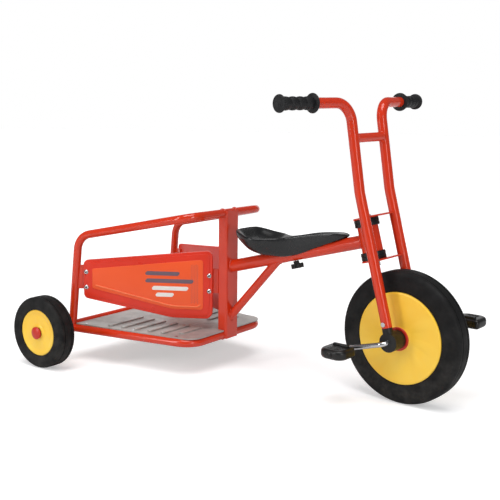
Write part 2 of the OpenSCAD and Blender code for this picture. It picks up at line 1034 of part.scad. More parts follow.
module front_axle()
{
    color(steel)
        steered()
            rotate([0, -crank_rest, 0])
                tube_run([[-crank_len, -spindle_end, 0], [-crank_len, -crank_y, 0],
                    [0, -crank_y, 0], [0, crank_y, 0], [crank_len, crank_y, 0],
                    [crank_len, spindle_end, 0]],
                    [crank_bend, crank_bend, crank_bend, crank_bend], axle_d, 0);
}

// ---- pedals -----------------------------------------------------------------------------------

pedal_end_r = 24;      // rounding of the two outer corners, seen from above
pedal_in_r = 8;

// The middle of a pedal; side -1 is the right pedal.
module at_pedal(side)
{
    steered()
        translate([side * crank_len * cos(crank_rest),
            side * (spindle_end - 1 - pedal_len / 2), side * crank_len * sin(crank_rest)])
            mirrored(side)
                children();
}

module pedal_outline()
{
    y = pedal_len / 2;
    x = pedal_w / 2;
    translate([-x, -y + pedal_in_r]) square([2 * x, 2 * y - pedal_in_r - pedal_end_r]);
    translate([-x + pedal_in_r, -y]) square([2 * (x - pedal_in_r), pedal_in_r + 1]);
    translate([-x + pedal_end_r, y - pedal_end_r - 1])
        square([2 * (x - pedal_end_r), pedal_end_r + 1]);
    for (i = [-1, 1]) {
        translate([i * (x - pedal_in_r), -y + pedal_in_r]) circle(r = pedal_in_r);
        translate([i * (x - pedal_end_r), y - pedal_end_r]) circle(r = pedal_end_r);
    }
}

module pedal()
{
    difference() {
        union() {
            intersection() {
                translate([0, 0, -pedal_t / 2])
                    linear_extrude(height = pedal_t) pedal_outline();
                rotate([90, 0, 0])
                    linear_extrude(height = pedal_len + 2, center = true) {
                        square([pedal_w - pedal_t, pedal_t], center = true);
                        for (i = [-1, 1])
                            translate([i * (pedal_w - pedal_t) / 2, 0])
                                circle(d = pedal_t);
                    }
            }
            // toe ridge across the inner end
            translate([-pedal_w / 2 + 14, -pedal_len / 2 + 8, pedal_t / 2 - 1])
                cube([pedal_w - 28, 10, 6]);
        }
        rotate([90, 0, 0])
            cylinder(h = pedal_len + 2, r = axle_d / 2 + run_fit, center = true);
    }
}

module pedal_right() { color(black) at_pedal(-1) pedal(); }
module pedal_left() { color(black) at_pedal(1) pedal(); }

module pedal_caps()
{
    color(steel)
        for (side = [-1, 1])
            at_pedal(side)
                translate([0, pedal_len / 2 + 1, 0])
                    rotate([-90, 0, 0])
                        cylinder(h = 3, d = 18);
}

// ---- saddle -------------------------------------------------------------------------------------

seat_back_x = front_x - 468;
block_lift = 5.5;       // height of the clamp block over the main tube
channel_half = 18.8;
seat_wall_steps = 6;
seat_top_steps = 10;

// Half width, rim height and lower edge along the saddle, from its rear end, in
// fractions of the length. Heights are above the floor.
plan = [[0, 0.36], [0.012, 0.64], [0.05, 0.78], [0.115, 0.91], [0.19, 1], [0.25, 0.97],
    [0.3, 0.85], [0.35, 0.66], [0.42, 0.5], [0.5, 0.41], [0.6, 0.35], [0.7, 0.31],
    [0.86, 0.28], [0.96, 0.2], [1, 0.08]];
rim_height = [[0, 382], [0.03, 379], [0.08, 375], [0.19, 368.5], [0.3, 366.5],
    [0.38, 367], [0.46, 370.5], [0.55, 376], [0.67, 384], [0.82, 390], [0.95, 392],
    [1, 390]];
lower_edge = [[0, 366], [0.02, 358], [0.09, 343], [0.18, 328], [0.3, 320], [0.41, 319],
    [0.52, 325], [0.63, 337], [0.72, 349], [0.82, 361], [0.9, 371], [0.97, 380], [1, 385]];
dish_depth = [[0, 3], [0.1, 14], [0.3, 12], [0.6, 4], [1, 1]];

seat_stations = [for (i = [0 : 24]) (1 - cos(180 * i / 24)) / 2];

function channel_top(x) = main_at(x).z + (main_tube_d / 2 + block_lift) / cos(main_slope);

function seat_ring(t) =
    let (x = seat_back_x + seat_len * t,
        w = seat_w / 2 * lookup(t, plan),
        rim = lookup(t, rim_height),
        low = min(lookup(t, lower_edge), rim - 3),
        inner = min(channel_half, 0.7 * w),
        top = min(max(channel_top(x), low), rim - 2),
        dish = lookup(t, dish_depth))
    concat(
        [for (i = [0 : seat_top_steps])
            let (y = w * cos(180 * i / seat_top_steps))
            [x, y, rim - dish * (1 - pow(y / w, 2))]],
        [for (i = [1 : seat_wall_steps])
            let (a = 90 * i / seat_wall_steps)
            [x, -inner - (w - inner) * cos(a), rim - (rim - low) * sin(a)]],
        [[x, -inner, top], [x, inner, top]],
        [for (i = [seat_wall_steps : -1 : 1])
            let (a = 90 * i / seat_wall_steps)
            [x, inner + (w - inner) * cos(a), rim - (rim - low) * sin(a)]]);

seat_ring_n = seat_top_steps + 1 + 2 * seat_wall_steps + 2;

module seat_shell()
{
    rings = [for (t = seat_stations) each seat_ring(t)];
    n = seat_ring_n;
    last = len(seat_stations) - 1;
    polyhedron(points = rings, faces = concat(
        [[for (j = [0 : n - 1]) j]],
        [for (i = [0 : last - 1], j = [0 : n - 1])
            [i * n + j, (i + 1) * n + j, (i + 1) * n + (j + 1) % n, i * n + (j + 1) % n]],
        [[for (j = [n - 1 : -1 : 0]) last * n + j]]));
}

module seat() { color(black) seat_shell(); }

block_half_x = 34;
block_half_y = 17;
stud_head = 14;
stud_head_h = 4;
stud_d = 8;

module seat_block()
{
    top = main_tube_d / 2 + block_lift - gap;
    color(black)
        on_main_tube()
            difference() {
                translate([-block_half_x, -block_half_y, 9])
                    cube([2 * block_half_x, 2 * block_half_y, top - 9]);
                rotate([0, 90, 0])
                    cylinder(h = 4 * block_half_x, d = main_tube_d + 0.6, center = true);
                translate([-stud_head / 2, -stud_head / 2, top - stud_head_h])
                    cube([stud_head, stud_head, stud_head_h + 1]);
                cylinder(h = 2 * main_tube_d, d = stud_d);
            }
}

knob_stem_h = 7;
knob_h = 12;
knob_air = 0.4;
lobe_r = 6;
lobe_count = 5;

module seat_stud()
{
    top = main_tube_d / 2 + block_lift - gap;
    color(steel)
        on_main_tube() {
            translate([-stud_head / 2, -stud_head / 2, top - stud_head_h])
                cube([stud_head, stud_head, stud_head_h]);
            translate([0, 0, -main_tube_d / 2 - knob_air - knob_stem_h - knob_h + 3])
                cylinder(h = main_tube_d + block_lift + knob_air + knob_stem_h + knob_h - 5,
                    d = stud_d);
        }
}

module seat_knob()
{
    color(black)
        on_main_tube()
            translate([0, 0, -main_tube_d / 2 - knob_air - knob_stem_h])
                difference() {
                    union() {
                        cylinder(h = knob_stem_h, d = 15);
                        translate([0, 0, -knob_h])
                            linear_extrude(height = knob_h) {
                                circle(d = knob_d - 2 * lobe_r + 2);
                                for (i = [0 : lobe_count - 1])
                                    rotate([0, 0, 360 * (i + 0.5) / lobe_count])
                                        translate([knob_d / 2 - lobe_r, 0])
                                            circle(r = lobe_r);
                            }
                    }
                    translate([0, 0, -knob_h + 2.8])
                        cylinder(h = knob_h + knob_stem_h, r = stud_d / 2 + run_fit);
                }
}

deck_ring();
rear_axle_tube();
rear_axle_plugs();
rear_axle();
deck_plate();
deck_rivets();
top_rail();
column();
main_tube();
brace();
head_tube();
head_bush_upper();
head_bush_lower();
panel_right();
panel_left();
post_bracket_right();
post_bracket_left();
column_bracket_right();
column_bracket_left();
panel_screws();
panel_nuts();
axle_caps();
axle_washers();
fork_tube_right();
fork_tube_left();
handlebar_crossbar();
fork_plate_upper();
fork_plate_lower();
king_bolt();
king_nut();
grip_right();
grip_left();
hub_bearing_right();
hub_bearing_left();
fork_screws();
front_tyre();
front_disc_right();
front_disc_left();
hub_flange_right();
hub_flange_left();
front_axle();
pedal_right();
pedal_left();
pedal_caps();
rear_tyre_right();
rear_tyre_left();
rear_disc_right();
rear_disc_left();
rear_bush_right();
rear_bush_left();
seat();
seat_block();
seat_stud();
seat_knob();
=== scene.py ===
import json
import math

import bmesh
import bpy
from mathutils import Matrix, Vector


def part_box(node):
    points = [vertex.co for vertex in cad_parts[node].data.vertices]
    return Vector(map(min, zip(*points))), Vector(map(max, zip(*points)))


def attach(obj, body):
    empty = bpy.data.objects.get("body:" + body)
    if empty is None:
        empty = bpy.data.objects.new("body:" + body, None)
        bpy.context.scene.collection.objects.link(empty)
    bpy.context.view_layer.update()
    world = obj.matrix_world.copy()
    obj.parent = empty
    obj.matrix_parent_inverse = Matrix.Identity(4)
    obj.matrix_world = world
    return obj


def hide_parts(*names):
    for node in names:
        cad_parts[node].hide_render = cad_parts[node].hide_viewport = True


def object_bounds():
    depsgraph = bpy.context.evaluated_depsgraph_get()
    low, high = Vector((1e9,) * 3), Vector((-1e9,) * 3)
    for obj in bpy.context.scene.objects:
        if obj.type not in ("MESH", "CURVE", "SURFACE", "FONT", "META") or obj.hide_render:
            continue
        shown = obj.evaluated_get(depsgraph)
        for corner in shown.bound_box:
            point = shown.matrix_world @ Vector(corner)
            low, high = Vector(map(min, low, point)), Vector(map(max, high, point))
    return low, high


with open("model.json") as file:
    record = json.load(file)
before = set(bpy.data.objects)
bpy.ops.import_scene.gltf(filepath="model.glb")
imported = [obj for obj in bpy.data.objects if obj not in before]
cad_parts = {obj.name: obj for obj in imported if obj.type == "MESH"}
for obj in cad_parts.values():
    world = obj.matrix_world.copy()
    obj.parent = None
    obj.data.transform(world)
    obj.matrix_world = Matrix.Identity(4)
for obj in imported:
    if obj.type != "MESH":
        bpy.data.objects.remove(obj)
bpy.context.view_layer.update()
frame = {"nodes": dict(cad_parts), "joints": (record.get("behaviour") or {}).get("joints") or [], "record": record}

SCENE = bpy.context.scene
MM = 0.001
X, Y, Z = Vector((1, 0, 0)), Vector((0, 1, 0)), Vector((0, 0, 1))
JOINTS = {j["name"]: j for j in frame["joints"]}

# ---- places, worked out from the frame ---------------------------------------------
# Lengths are in millimetres unless they come straight from the frame.

STEER_AXIS = Vector(JOINTS["steering"]["axis"]).normalized()
STEER_POS = Vector(JOINTS["steering"]["pos_m"])
REST_TURN = math.radians(-6.6)      # the fork rests turned a little to the right

TUBE_D = 22
FORK_TUBE_D = 25
MAIN_TUBE_D = 33
HEAD_TUBE_D = 51


def turned_about(pos, axis, angle):
    """The matrix that turns the row frame about an axis through pos."""
    return Matrix.Translation(pos) @ Matrix.Rotation(angle, 4, axis) @ Matrix.Translation(-pos)


def axis_place(pos, axis, toward=X):
    """A frame at pos whose +Z lies along axis and whose +X leans towards a direction."""
    z = Vector(axis).normalized()
    x = (toward - toward.dot(z) * z).normalized()
    place = Matrix((x, z.cross(x), z)).transposed().to_4x4()
    place.translation = Vector(pos)
    return place


STEERED = turned_about(STEER_POS, STEER_AXIS, REST_TURN)
AXLE_POS = Vector(JOINTS["front_wheel_spin"]["pos_m"])
AXLE_AXIS = Vector(JOINTS["front_wheel_spin"]["axis"])
# The front axle while the wheel points straight ahead.
AXLE_AHEAD = STEERED.inverted() @ AXLE_POS
FORK_PLACE = STEERED @ Matrix.Translation(AXLE_AHEAD)
# Side -1 is the right one. In these frames +Z points outwards from the middle.
FRONT_SIDE = {s: axis_place(AXLE_POS, AXLE_AXIS * s) for s in (-1, 1)}
REAR_SIDE = {
    -1: axis_place(JOINTS["rear_wheel_right_spin"]["pos_m"], -Y),
    1: axis_place(JOINTS["rear_wheel_left_spin"]["pos_m"], Y),
}
SIDE_NAME = {-1: "right", 1: "left"}

MAIN_DIR = Vector(JOINTS["saddle_slide"]["axis"])
KNOB_AXIS = Vector(JOINTS["knob_turn"]["axis"])
KNOB_DROP = 0.030                   # the knob's joint lies this far under the main tube's middle
MAIN_POINT = Vector(JOINTS["knob_turn"]["pos_m"]) - KNOB_AXIS * KNOB_DROP


def main_at(x):
    """The point on the middle line of the main tube over x, in metres."""
    return MAIN_POINT + MAIN_DIR * ((x - MAIN_POINT.x) / MAIN_DIR.x)


# ---- mesh tools ----------------------------------------------------------------------


def arc(centre, radius, start, stop, steps):
    """Points of an arc in the plane, angles in degrees."""
    angles = [math.radians(start + (stop - start) * i / steps) for i in range(steps + 1)]
    return [(centre[0] + radius * math.cos(a), centre[1] + radius * math.sin(a)) for a in angles]


def rounded(corners, radii, steps=8):
    """A closed outline whose corners are rounded by arcs."""
    outline = []
    count = len(corners)
    for i in range(count):
        before, corner, after = (Vector(corners[(i + k) % count]) for k in (-1, 0, 1))
        u, v = (corner - before).normalized(), (after - corner).normalized()
        turn = u.angle(v)
        side = (v - u.dot(v) * u).normalized()
        start = corner - u * radii[i] * math.tan(turn / 2)
        centre = start + side * radii[i]
        for k in range(steps + 1):
            a = turn * k / steps
            outline.append(centre - side * radii[i] * math.cos(a) + u * radii[i] * math.sin(a))
    return outline


def lathe(profile, steps=96, closed=False):
    """A profile of (radius, height) pairs spun about +Z."""
    bm = bmesh.new()
    verts = [bm.verts.new((r, 0, h)) for r, h in profile]
    edges = [bm.edges.new(pair) for pair in zip(verts, verts[1:])]
    if closed:
        edges.append(bm.edges.new((verts[-1], verts[0])))
    bmesh.ops.spin(
        bm, geom=verts + edges, axis=Z, cent=(0, 0, 0),
        angle=2 * math.pi, steps=steps, use_merge=True,
    )
    bmesh.ops.remove_doubles(bm, verts=bm.verts, dist=1e-4)
    bmesh.ops.dissolve_degenerate(bm, edges=bm.edges, dist=1e-4)
    return bm


def slab(outline, low, high, soften=0.0, segments=3):
    """A flat outline extruded from low to high; its upper and lower edges are softened."""
    bm = bmesh.new()
    face = bm.faces.new([bm.verts.new((p[0], p[1], low)) for p in outline])
    grown = bmesh.ops.extrude_face_region(bm, geom=[face])["geom"]
    top = [v for v in grown if isinstance(v, bmesh.types.BMVert)]
    bmesh.ops.translate(bm, verts=top, vec=(0, 0, high - low))
    bmesh.ops.recalc_face_normals(bm, faces=bm.faces)
    if soften:
        flat = [e for e in bm.edges if abs(e.verts[0].co.z - e.verts[1].co.z) < 1e-6]
        bmesh.ops.bevel(
            bm, geom=flat, offset=soften, offset_type="OFFSET", segments=segments,
            profile=0.5, affect="EDGES", clamp_overlap=True, material=-1,
        )
    return bm


def joined(*parts):
    """Several meshes as one; each part is (mesh, matrix, material index)."""
    whole = bmesh.new()
    for part, place, index in parts:
        for face in part.faces:
            face.material_index = index
        bmesh.ops.transform(part, matrix=place, verts=part.verts)
        copy = bpy.data.meshes.new("part")
        part.to_mesh(copy)
        part.free()
        whole.from_mesh(copy)
        bpy.data.meshes.remove(copy)
    return whole


def add_piece(name, bm, body, finishes, replaces=(), place=None, sharp=32):
    """Turns a mesh in millimetres into a piece that rides on a body."""
    metres = (place or Matrix.Identity(4)) @ Matrix.Scale(MM, 4)
    bmesh.ops.transform(bm, matrix=metres, verts=bm.verts)
    bmesh.ops.recalc_face_normals(bm, faces=bm.faces)
    mesh = bpy.data.meshes.new(name)
    bm.to_mesh(mesh)
    bm.free()
    for material in finishes:
        mesh.materials.append(material)
    mesh.shade_smooth()
    mesh.set_sharp_from_angle(angle=math.radians(sharp))
    piece = bpy.data.objects.new(name, mesh)
    SCENE.collection.objects.link(piece)
    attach(piece, body)
    if replaces:
        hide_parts(*replaces)
    return piece


# ---- shader groups: effects that several finishes share --------------------------------


def new_group(name, inputs, outputs):
    """A node group with float or colour inputs; returns (tree, input node, output node)."""
    tree = bpy.data.node_groups.new(name, "ShaderNodeTree")
    for label, kind, value in inputs:
        socket = tree.interface.new_socket(label, in_out="INPUT", socket_type=kind)
        socket.default_value = value
    for label, kind in outputs:
        tree.interface.new_socket(label, in_out="OUTPUT", socket_type=kind)
    return tree, tree.nodes.new("NodeGroupInput"), tree.nodes.new("NodeGroupOutput")


FLOAT, COLOUR = "NodeSocketFloat", "NodeSocketColor"


def noise_at(tree, scale, detail=3.0, rough=0.55):
    """A noise texture on Object coordinates; scale is a number or a socket."""
    where = tree.nodes.new("ShaderNodeTexCoord")
    noise = tree.nodes.new("ShaderNodeTexNoise")
    noise.inputs["Detail"].default_value = detail
    noise.inputs["Roughness"].default_value = rough
    tree.links.new(where.outputs["Object"], noise.inputs["Vector"])
    if isinstance(scale, (int, float)):
        noise.inputs["Scale"].default_value = scale
    else:
        tree.links.new(scale, noise.inputs["Scale"])
    return noise


def remap(tree, value, low, high, to_low=0.0, to_high=1.0):
    node = tree.nodes.new("ShaderNodeMapRange")
    tree.links.new(value, node.inputs["Value"])
    for label, number in zip(("From Min", "From Max", "To Min", "To Max"),
                             (low, high, to_low, to_high)):
        node.inputs[label].default_value = number
    return node.outputs["Result"]


def maths(tree, operation, a, b):
    node = tree.nodes.new("ShaderNodeMath")
    node.operation = operation
    for socket, value in zip(node.inputs, (a, b)):
        if isinstance(value, (int, float)):
            socket.default_value = value
        else:
            tree.links.new(value, socket)
    return node.outputs[0]


def mix_colour(tree, factor, a, b):
    node = tree.nodes.new("ShaderNodeMix")
    node.data_type = "RGBA"
    for socket, value in ((node.inputs["Factor"], factor), (node.inputs[6], a),
                          (node.inputs[7], b)):
        if isinstance(value, bpy.types.NodeSocket):
            tree.links.new(value, socket)
        else:
            socket.default_value = value
    return node.outputs[2]


def build_mottle():
    """Slow cloudy change of a colour, as pigment has."""
    tree, given, out = new_group(
        "mottle",
        [("Colour", COLOUR, (1, 1, 1, 1)), ("Deep Colour", COLOUR, (1, 1, 1, 1)),
         ("Scale", FLOAT, 20.0), ("Amount", FLOAT, 0.3)],
        [("Colour", COLOUR)],
    )
    noise = noise_at(tree, given.outputs["Scale"])
    factor = maths(tree, "MULTIPLY", remap(tree, noise.outputs["Fac"], 0.35, 0.68),
                   given.outputs["Amount"])
    mixed = mix_colour(tree, factor, given.outputs["Colour"], given.outputs["Deep Colour"])
    tree.links.new(mixed, out.inputs["Colour"])
    return tree


def build_grain():
    """Fine grain of a moulded or sprayed skin, as a height."""
    tree, given, out = new_group("grain", [("Scale", FLOAT, 900.0)], [("Height", FLOAT)])
    noise = noise_at(tree, given.outputs["Scale"], 2.0, 0.6)
    tree.links.new(noise.outputs["Fac"], out.inputs["Height"])
    return tree


def build_scuffs():
    """Short rubbed marks: a thin band of a stretched noise, broken up by a slower one."""
    tree, given, out = new_group(
        "scuffs", [("Scale", FLOAT, 60.0), ("Amount", FLOAT, 0.3)], [("Mask", FLOAT)]
    )
    where = tree.nodes.new("ShaderNodeTexCoord")
    stretch = tree.nodes.new("ShaderNodeMapping")
    stretch.inputs["Scale"].default_value = (1.0, 3.5, 0.6)
    stretch.inputs["Rotation"].default_value = (0.3, 0.5, 0.9)
    tree.links.new(where.outputs["Object"], stretch.inputs["Vector"])
    noise = tree.nodes.new("ShaderNodeTexNoise")
    noise.inputs["Detail"].default_value = 4.0
    tree.links.new(stretch.outputs["Vector"], noise.inputs["Vector"])
    tree.links.new(given.outputs["Scale"], noise.inputs["Scale"])
    line = remap(tree, noise.outputs["Fac"], 0.60, 0.72)
    patches = remap(tree, noise_at(tree, 9.0).outputs["Fac"], 0.5, 0.65)
    mask = maths(tree, "MULTIPLY", maths(tree, "MULTIPLY", line, patches),
                 given.outputs["Amount"])
    tree.links.new(mask, out.inputs["Mask"])
    return tree


def build_dust():
    """Dust that is thicker near the floor, in soft clouds."""
    tree, given, out = new_group(
        "dust", [("Amount", FLOAT, 0.1), ("Reach", FLOAT, 0.25)], [("Mask", FLOAT)]
    )
    where = tree.nodes.new("ShaderNodeTexCoord")
    split = tree.nodes.new("ShaderNodeSeparateXYZ")
    tree.links.new(where.outputs["Object"], split.inputs["Vector"])
    near = tree.nodes.new("ShaderNodeMapRange")
    near.inputs["From Min"].default_value = 0.0
    near.inputs["To Min"].default_value = 1.0
    near.inputs["To Max"].default_value = 0.15
    tree.links.new(split.outputs["Z"], near.inputs["Value"])
    tree.links.new(given.outputs["Reach"], near.inputs["From Max"])
    clouds = remap(tree, noise_at(tree, 28.0, 6.0, 0.65).outputs["Fac"], 0.4, 0.7)
    mask = maths(tree, "MULTIPLY", maths(tree, "MULTIPLY", near.outputs["Result"], clouds),
                 given.outputs["Amount"])
    tree.links.new(mask, out.inputs["Mask"])
    return tree


GROUPS = {"mottle": build_mottle(), "grain": build_grain(), "scuffs": build_scuffs(),
          "dust": build_dust()}
DUST_COLOUR = (0.42, 0.39, 0.35, 1)


def use_group(tree, name, **values):
    node = tree.nodes.new("ShaderNodeGroup")
    node.node_tree = GROUPS[name]
    for label, value in values.items():
        node.inputs[label.replace("_", " ")].default_value = value
    return node


def paint_value(colour):
    """A display colour from 0 to 255 as a linear one."""
    linear = [(c / 255 / 12.92) if c < 10 else ((c / 255 + 0.055) / 1.055) ** 2.4
              for c in colour]
    return (*linear, 1)


def make_finish(name, colour, deep, roughness, grain_scale, grain_depth, mottle=0.5,
                mottle_scale=14, scuffs=0.2, scuff_scale=60, scuff_colour=None, dust=0.1,
                metallic=0.0, coat=0.0, coat_roughness=0.06, specular=0.5):
    """A painted, moulded or metal skin: clouded colour, rubbed marks, dust and grain."""
    material = bpy.data.materials.new(name)
    material.use_nodes = True
    tree = material.node_tree
    skin = tree.nodes["Principled BSDF"]
    skin.inputs["Metallic"].default_value = metallic
    skin.inputs["Coat Weight"].default_value = coat
    skin.inputs["Coat Roughness"].default_value = coat_roughness
    skin.inputs["Specular IOR Level"].default_value = specular

    base = use_group(tree, "mottle", Scale=mottle_scale, Amount=mottle)
    base.inputs["Colour"].default_value = paint_value(colour)
    base.inputs["Deep Colour"].default_value = paint_value(deep)
    rubbed = use_group(tree, "scuffs", Scale=scuff_scale, Amount=scuffs)
    dusty = use_group(tree, "dust", Amount=dust)
    mark = paint_value(scuff_colour or tuple(min(255, c + 40) for c in colour))
    worn = mix_colour(tree, rubbed.outputs["Mask"], base.outputs["Colour"], mark)
    shown = mix_colour(tree, dusty.outputs["Mask"], worn, DUST_COLOUR)
    tree.links.new(shown, skin.inputs["Base Color"])

    uneven = remap(tree, noise_at(tree, 35.0).outputs["Fac"], 0.3, 0.7,
                   roughness * 0.85, roughness * 1.2)
    marked = maths(tree, "MULTIPLY", rubbed.outputs["Mask"], 0.35)
    dulled = maths(tree, "MULTIPLY", dusty.outputs["Mask"], 0.5)
    rough = maths(tree, "ADD", uneven, maths(tree, "ADD", marked, dulled))
    tree.links.new(rough, skin.inputs["Roughness"])

    grain = use_group(tree, "grain", Scale=grain_scale)
    bump = tree.nodes.new("ShaderNodeBump")
    bump.inputs["Strength"].default_value = 1.0
    bump.inputs["Distance"].default_value = grain_depth
    tree.links.new(grain.outputs["Height"], bump.inputs["Height"])
    tree.links.new(bump.outputs["Normal"], skin.inputs["Normal"])
    return material


RED_PAINT = make_finish("red_powder_coat", (214, 54, 20), (198, 40, 14), 0.14, 420, 0.00003,
                        mottle=0.3, scuffs=0.05, dust=0.03, specular=0.55)
PANEL_RIM = make_finish("panel_rim_plastic", (224, 48, 20), (212, 38, 16), 0.32, 1500,
                        0.00003, mottle=0.3, scuffs=0.08, dust=0.03)
PANEL_FIELD = make_finish("panel_field_plastic", (244, 90, 36), (238, 80, 30), 0.36, 1500,
                          0.00003, mottle=0.3, scuffs=0.1, dust=0.03)
# Painted highlight: the bead takes a lighter copy of the field colour, standing for the light caught along its
# edge.
PANEL_BEAD_PAINTED_HIGHLIGHT = make_finish("panel_bead_painted_highlight", (244, 116, 66), (238, 104, 58), 0.32, 1500,
                         0.00002, mottle=0.3, scuffs=0.1, dust=0.0)
RED_PLASTIC = make_finish("red_moulded_plastic", (200, 42, 26), (180, 30, 18), 0.32, 1400,
                          0.00003, scuffs=0.1, dust=0.04)
YELLOW_PLASTIC = make_finish("yellow_moulded_plastic", (255, 210, 72), (255, 194, 42), 0.36,
                             1300, 0.00003, mottle=0.6, mottle_scale=9, scuffs=0.12,
                             dust=0.05)
TYRE_RUBBER = make_finish("tyre_rubber", (16, 16, 17), (9, 9, 10), 0.66, 1100, 0.0002,
                          mottle=0.8, mottle_scale=40, scuffs=0.2,
                          scuff_colour=(58, 57, 55), dust=0.07, specular=0.25)
GRIP_RUBBER = make_finish("grip_rubber", (22, 22, 24), (14, 14, 16), 0.52, 900, 0.00015,
                          mottle=0.6, scuffs=0.15, scuff_colour=(50, 50, 52), dust=0.0,
                          specular=0.35)
SADDLE_PLASTIC = make_finish("saddle_plastic", (19, 20, 22), (12, 13, 15), 0.26, 700,
                             0.00004, mottle=0.5, scuffs=0.15, scuff_colour=(48, 48, 50),
                             dust=0.0, specular=0.5)
BLACK_PLASTIC = make_finish("black_plastic", (14, 14, 15), (9, 9, 10), 0.36, 900, 0.00006,
                            mottle=0.6, scuffs=0.2, scuff_colour=(54, 54, 53), dust=0.04,
                            specular=0.4)
BRIGHT_STEEL = make_finish("bright_steel", (206, 206, 208), (168, 168, 172), 0.20, 500,
                           0.00003, mottle=0.6, mottle_scale=60, scuffs=0.3,
                           scuff_colour=(120, 118, 116), dust=0.04, metallic=1.0)
DECK_SHEET = make_finish("deck_sheet", (176, 172, 168), (150, 147, 144), 0.38, 650, 0.0001,
                         mottle=0.8, mottle_scale=30, scuffs=0.4, scuff_scale=45,
                         scuff_colour=(188, 186, 184), dust=0.10, metallic=0.25)
MOTIF_GREY = make_finish("motif_grey", (112, 92, 104), (96, 78, 90), 0.4, 1500, 0.00002,
                         scuffs=0.1, dust=0.0)
MOTIF_WHITE = make_finish("motif_white", (236, 232, 226), (222, 216, 210), 0.4, 1500,
                          0.00002, scuffs=0.1, scuff_colour=(205, 200, 196), dust=0.0)
# Painted shade: a near-black finish for the screw sockets, standing in for the shade inside the hexagon recess.
SOCKET_PAINTED_SHADE = make_finish("socket_painted_shade", (34, 32, 32), (22, 21, 21), 0.6, 900, 0.00005)

# Every node that stays as it is in the frame takes the finish of its slot.
SLOT_FINISH = {
    "red_paint": RED_PAINT, "bright_steel": BRIGHT_STEEL, "deck_sheet": DECK_SHEET,
    "tyre_rubber": TYRE_RUBBER, "yellow_plastic": YELLOW_PLASTIC,
    "panel_plastic": PANEL_RIM, "red_plastic": RED_PLASTIC, "grip_rubber": GRIP_RUBBER,
    "saddle_plastic": SADDLE_PLASTIC, "black_plastic": BLACK_PLASTIC,
}
for part in frame["record"]["subparts"]:
    node = frame["nodes"][part["node"]]
    node.data.materials.clear()
    node.data.materials.append(SLOT_FINISH[part["material_slot"]])

# ---- wheels ------------------------------------------------------------------------------

FRONT_D, FRONT_W, FRONT_DISC_D = 320, 53, 222
REAR_D, REAR_W, REAR_DISC_D = 192, 52, 124


def tyre_half(radius, half_w, inner_r, shoulder, groove):
    """Half of a tyre's section, from the bead up over the shoulder to the middle."""
    wall = [(inner_r, half_w - 3.5), (inner_r + 1.5, half_w - 2.0), (inner_r + 4, half_w - 1.2),
            (inner_r + 0.35 * (radius - inner_r), half_w - 0.2),
            (radius - shoulder - 2, half_w)]
    corner = [(r, h) for r, h in
              arc((radius - shoulder, half_w - shoulder), shoulder, 90, 12, 10)]
    crown = radius - 0.6
    tread = [(crown, groove + 1.6), (crown - 1.6, groove + 1.0), (crown - 1.6, groove - 1.0),
             (crown, groove - 1.6), (radius, 5.0), (radius, 0.6)]
    return wall + corner + tread


def tyre_mesh(diameter, width, inner_d, shoulder, groove):
    half = tyre_half(diameter / 2, width / 2, inner_d / 2, shoulder, groove)
    return lathe([(r, h) for r, h in half] + [(r, -h) for r, h in reversed(half)],
                 steps=160, closed=True)


add_piece("front_tyre_rubber", tyre_mesh(FRONT_D, FRONT_W, FRONT_DISC_D, 12, 11.5),
          "front_wheel", [TYRE_RUBBER], ["front_tyre"], FRONT_SIDE[1])
for side, name in SIDE_NAME.items():
    add_piece(f"rear_tyre_rubber_{name}", tyre_mesh(REAR_D, REAR_W, REAR_DISC_D, 11, 11.5),
              f"rear_wheel_{name}", [TYRE_RUBBER], [f"rear_tyre_{name}"],
              REAR_SIDE[side])


def raise_relief(bm, from_r, to_r, face_h, depth, count, twist):
    """Shallow leaves on the outer face of a disc, faded out at both radii."""
    for v in bm.verts:
        r = math.hypot(v.co.x, v.co.y)
        if from_r < r < to_r and v.co.z > face_h - 0.5:
            share = (r - from_r) / (to_r - from_r)
            fade = math.sin(math.pi * share) ** 0.7
            wave = math.cos(count * math.atan2(v.co.y, v.co.x) + twist * share)
            v.co.z += depth * fade * max(0.0, wave) ** 0.6


def front_disc_mesh():
    half_r = FRONT_DISC_D / 2
    face = 27.0
    spokes = [(34 + (104 - 34) * i / 16, face) for i in range(17)]
    profile = (
        [(15, 0.05), (15, 27.9), (29, 27.9), (31, 27.4)] + spokes
        + [(107, 27.0), (109.2, 26.4), (110.6, 25.2), (half_r, 23.8), (half_r, 0.05),
           (half_r - 6, 0.05), (half_r - 6, 20), (27, 20), (21, 0.05)]
    )
    bm = lathe(profile, steps=180, closed=True)
    raise_relief(bm, 38, 102, face, 0.8, 9, 1.9)
    return bm


def rear_disc_mesh():
    half_r = REAR_DISC_D / 2
    face = 19.0
    spokes = [(24 + (46 - 24) * i / 8, face) for i in range(9)]
    profile = (
        [(15, -22), (15, 22), (18.5, 22), (20, 21.2), (22, 19.4)] + spokes
        + [(48, 19.2), (52, 20.4), (55.5, 21.8), (59, 22), (61, 21.4), (half_r, 20),
           (half_r, -22), (half_r - 8, -22), (half_r - 8, -5), (22, -5), (22, -22)]
    )
    bm = lathe(profile, steps=150, closed=True)
    raise_relief(bm, 24, 46, face, 0.9, 7, 1.4)
    return bm


for side, name in SIDE_NAME.items():
    add_piece(f"front_disc_shell_{name}", front_disc_mesh(), "front_wheel",
              [YELLOW_PLASTIC], [f"front_disc_{name}"], FRONT_SIDE[side])
    add_piece(f"rear_disc_shell_{name}", rear_disc_mesh(), f"rear_wheel_{name}",
              [YELLOW_PLASTIC], [f"rear_disc_{name}"], REAR_SIDE[side])

# ---- pedals ------------------------------------------------------------------------------

PEDAL_LEN, PEDAL_W, PEDAL_T = 60, 70, 24
STEERED_UP = STEERED.to_3x3() @ Z


